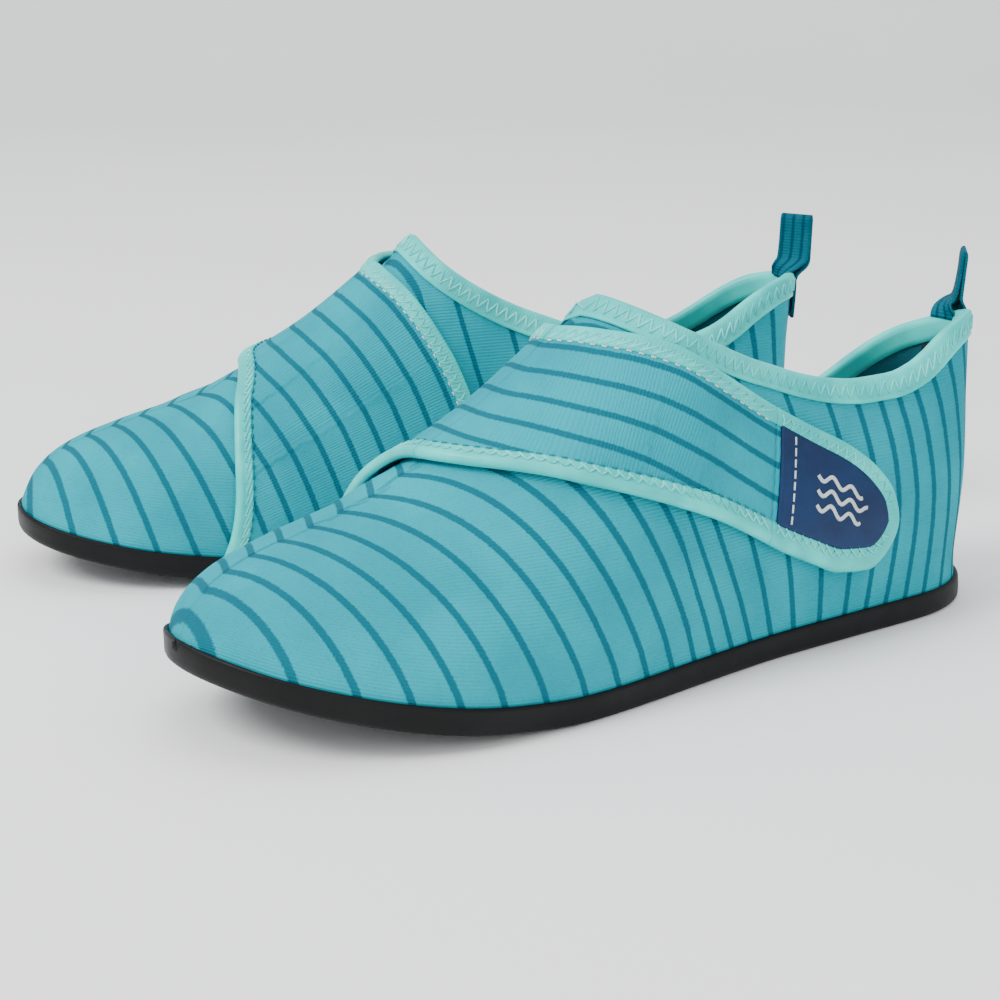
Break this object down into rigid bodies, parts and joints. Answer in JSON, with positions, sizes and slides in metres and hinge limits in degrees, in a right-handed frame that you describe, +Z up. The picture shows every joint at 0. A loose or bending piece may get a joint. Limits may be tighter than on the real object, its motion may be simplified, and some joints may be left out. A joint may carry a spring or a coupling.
{
  "type": "pair of water shoes",
  "caption": "Pair of low stretch-fabric water shoes with bound collars, instep straps with a hook-and-loop tip, heel pull tabs and thin rubber soles.",
  "frame": {"origin": "on the ground under the middle of the pair's box", "axes": "+X towards the toes of the left shoe, +Y towards its lateral side, +Z up"},
  "size_m": [0.2683, 0.2427, 0.1005],
  "materials": {
    "outsole": "smooth matt black rubber",
    "board": "pressed fibre lasting board",
    "footbed": "foam with a knitted cover",
    "upper": "fine rib-knit stretch laminate, darker stripes",
    "strap": "fine rib-knit stretch laminate, darker stripes",
    "binding": "smooth elastic tape with zigzag stitches",
    "tape": "woven tape",
    "label": "fine satin weave with a pale wave motif",
    "loop_pad": "brushed loop pile",
    "hook_pad": "moulded hooks"
  },
  "bodies": {
    "left_shoe": {"left_outsole": "outsole", "left_lasting_board": "board", "left_footbed": "footbed", "left_toe_upper": "upper", "left_heel_upper": "upper", "left_collar_binding": "binding", "left_heel_seam_tape": "tape", "left_strap_root": "strap", "left_strap_root_binding": "binding", "left_loop_pad": "loop_pad", "left_pull_tab_foot": "tape"},
    "left_flap": {"left_strap_flap": "strap", "left_strap_flap_binding": "binding"},
    "left_tip": {"left_strap_tip": "strap", "left_strap_tip_binding": "binding", "left_strap_label": "label", "left_hook_pad": "hook_pad"},
    "left_tab": {"left_heel_pull_tab": "tape"},
    "right_shoe": {"right_outsole": "outsole", "right_lasting_board": "board", "right_footbed": "footbed", "right_toe_upper": "upper", "right_heel_upper": "upper", "right_collar_binding": "binding", "right_heel_seam_tape": "tape", "right_strap_root": "strap", "right_strap_root_binding": "binding", "right_loop_pad": "loop_pad", "right_pull_tab_foot": "tape"},
    "right_flap": {"right_strap_flap": "strap", "right_strap_flap_binding": "binding"},
    "right_tip": {"right_strap_tip": "strap", "right_strap_tip_binding": "binding", "right_strap_label": "label", "right_hook_pad": "hook_pad"},
    "right_tab": {"right_heel_pull_tab": "tape"}
  },
  "joints": [
    {"name": "left_strap_opening", "type": "hinge", "parent": "left_shoe", "child": "left_flap", "pos_m": [0.0415, 0.06948, 0.0792], "axis": [0.8297, 0, -0.5583], "range_deg": [0, 115]},
    {"name": "left_tip_peel", "type": "hinge", "parent": "left_flap", "child": "left_tip", "pos_m": [-0.02403, 0.10972, 0.05], "axis": [0.2872, 0.287, -0.9139], "range_deg": [0, 65]},
    {"name": "left_pull_tab_tilt", "type": "hinge", "parent": "left_shoe", "child": "left_tab", "pos_m": [-0.12158, 0.07648, 0.084], "axis": [-0.6691, -0.7431, 0], "range_deg": [-20, 55], "stiffness_Nm_per_rad": 0.002},
    {"name": "right_strap_opening", "type": "hinge", "parent": "right_shoe", "child": "right_flap", "pos_m": [0.02506, -0.05924, 0.07908], "axis": [-0.7742, 0.2925, 0.5613], "range_deg": [0, 115]},
    {"name": "right_tip_peel", "type": "hinge", "parent": "right_flap", "child": "right_tip", "pos_m": [-0.05045, -0.07367, 0.05], "axis": [-0.1673, 0.3698, 0.9139], "range_deg": [0, 65]},
    {"name": "right_pull_tab_tilt", "type": "hinge", "parent": "right_shoe", "child": "right_tab", "pos_m": [-0.12998, -0.00814, 0.084], "axis": [0.3633, -0.9317, 0], "range_deg": [-20, 55], "stiffness_Nm_per_rad": 0.002},
    {"name": "right_shoe_lift", "type": "slide", "parent": "left_shoe", "child": "right_shoe", "axis": [0, 0, 1], "range_m": [0, 0.15]}
  ]
}
